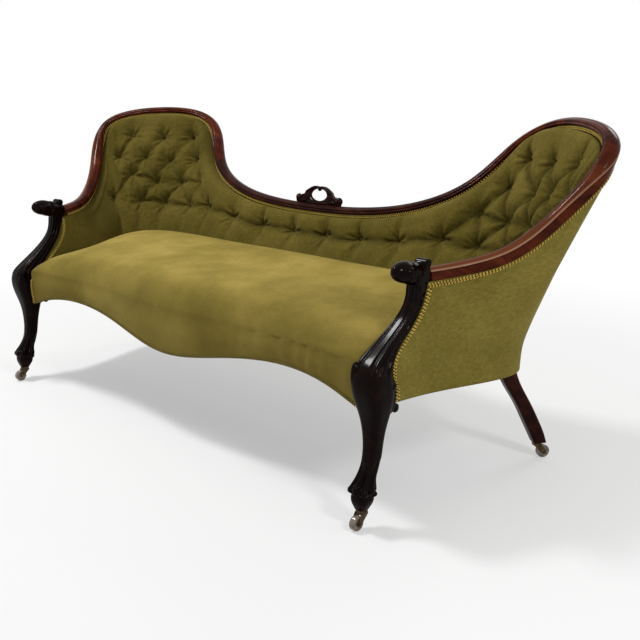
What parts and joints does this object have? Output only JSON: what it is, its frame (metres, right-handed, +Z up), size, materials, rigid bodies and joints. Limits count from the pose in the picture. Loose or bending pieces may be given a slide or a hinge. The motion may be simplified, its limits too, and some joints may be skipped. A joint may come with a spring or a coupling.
{
  "type": "spoon-back settee",
  "caption": "Long settee with a low middle back rising to rounded spoon ends, buttoned inside back, sprung seat with a wavy apron, show-wood rail, S-shaped front legs and castors.",
  "frame": {"origin": "on the floor under the middle of the settee's box", "axes": "+Z up, -Y the way the sitter faces, +X along the seat to the sitter's left as they sit (right in the front view)"},
  "size_m": [2.1392, 0.8481, 0.9135],
  "materials": {
    "mahogany": "dark polished mahogany",
    "beech": "plain sawn beech",
    "webbing_and_hessian": "coarse jute",
    "bottom_cloth": "thin black cotton",
    "spring_steel": "drawn wire",
    "velvet": "olive cotton velvet",
    "gimp_braid": "old gold braid",
    "aged_brass": "dark aged brass",
    "castor_ceramic": "glazed pale ceramic"
  },
  "bodies": {
    "frame": {"front_leg_left": "mahogany", "front_leg_right": "mahogany", "rear_leg_left": "mahogany", "rear_leg_right": "mahogany", "centre_back_rail": "mahogany", "spoon_rail_left": "mahogany", "spoon_rail_right": "mahogany", "arm_rail_left": "mahogany", "arm_rail_right": "mahogany", "crest_carving": "mahogany", "front_seat_rail": "beech", "back_seat_rail": "beech", "side_seat_rail_left": "beech", "side_seat_rail_right": "beech", "front_corner_block_left": "beech", "front_corner_block_right": "beech", "rear_corner_block_left": "beech", "rear_corner_block_right": "beech", "back_upright_left": "beech", "back_upright_right": "beech", "spoon_upright_left": "beech", "spoon_upright_right": "beech", "seat_webbing": "webbing_and_hessian", "seat_hessian": "webbing_and_hessian", "back_hessian": "webbing_and_hessian", "bottom_cloth": "bottom_cloth", "seat_spring_01": "spring_steel", "seat_spring_02": "spring_steel", "seat_spring_03": "spring_steel", "seat_spring_04": "spring_steel", "seat_spring_05": "spring_steel", "seat_spring_06": "spring_steel", "seat_spring_07": "spring_steel", "seat_spring_08": "spring_steel", "seat_pad": "velvet", "back_pad": "velvet", "outside_back_cover": "velvet", "gimp_outer_rail": "gimp_braid", "gimp_inner_rail": "gimp_braid", "gimp_front": "gimp_braid", "gimp_arm_left": "gimp_braid", "gimp_arm_right": "gimp_braid", "castor_plate_front_right": "aged_brass", "castor_plate_front_left": "aged_brass", "castor_plate_rear_right": "aged_brass", "castor_plate_rear_left": "aged_brass"},
    "castor_front_right": {"castor_fork_front_right": "aged_brass", "castor_axle_front_right": "aged_brass"},
    "wheel_front_right": {"castor_wheel_front_right": "castor_ceramic"},
    "castor_front_left": {"castor_fork_front_left": "aged_brass", "castor_axle_front_left": "aged_brass"},
    "wheel_front_left": {"castor_wheel_front_left": "castor_ceramic"},
    "castor_rear_right": {"castor_fork_rear_right": "aged_brass", "castor_axle_rear_right": "aged_brass"},
    "wheel_rear_right": {"castor_wheel_rear_right": "castor_ceramic"},
    "castor_rear_left": {"castor_fork_rear_left": "aged_brass", "castor_axle_rear_left": "aged_brass"},
    "wheel_rear_left": {"castor_wheel_rear_left": "castor_ceramic"}
  },
  "joints": [
    {"name": "castor_swivel_front_right", "type": "hinge", "parent": "frame", "child": "castor_front_right", "pos_m": [0.785, -0.388, 0.041], "axis": [0, 0, 1], "continuous": true},
    {"name": "wheel_spin_front_right", "type": "hinge", "parent": "castor_front_right", "child": "wheel_front_right", "pos_m": [0.785, -0.406, 0.018], "axis": [1, 0, 0], "continuous": true},
    {"name": "castor_swivel_front_left", "type": "hinge", "parent": "frame", "child": "castor_front_left", "pos_m": [-0.785, -0.388, 0.041], "axis": [0, 0, 1], "continuous": true},
    {"name": "wheel_spin_front_left", "type": "hinge", "parent": "castor_front_left", "child": "wheel_front_left", "pos_m": [-0.785, -0.406, 0.018], "axis": [1, 0, 0], "continuous": true},
    {"name": "castor_swivel_rear_right", "type": "hinge", "parent": "frame", "child": "castor_rear_right", "pos_m": [0.85588, 0.25536, 0.041], "axis": [0, 0, 1], "continuous": true},
    {"name": "wheel_spin_rear_right", "type": "hinge", "parent": "castor_rear_right", "child": "wheel_rear_right", "pos_m": [0.86549, 0.27058, 0.018], "axis": [-0.8454, 0.5341, 0], "continuous": true},
    {"name": "castor_swivel_rear_left", "type": "hinge", "parent": "frame", "child": "castor_rear_left", "pos_m": [-0.85588, 0.25536, 0.041], "axis": [0, 0, 1], "continuous": true},
    {"name": "wheel_spin_rear_left", "type": "hinge", "parent": "castor_rear_left", "child": "wheel_rear_left", "pos_m": [-0.86549, 0.27058, 0.018], "axis": [0.8454, 0.5341, 0], "continuous": true}
  ]
}
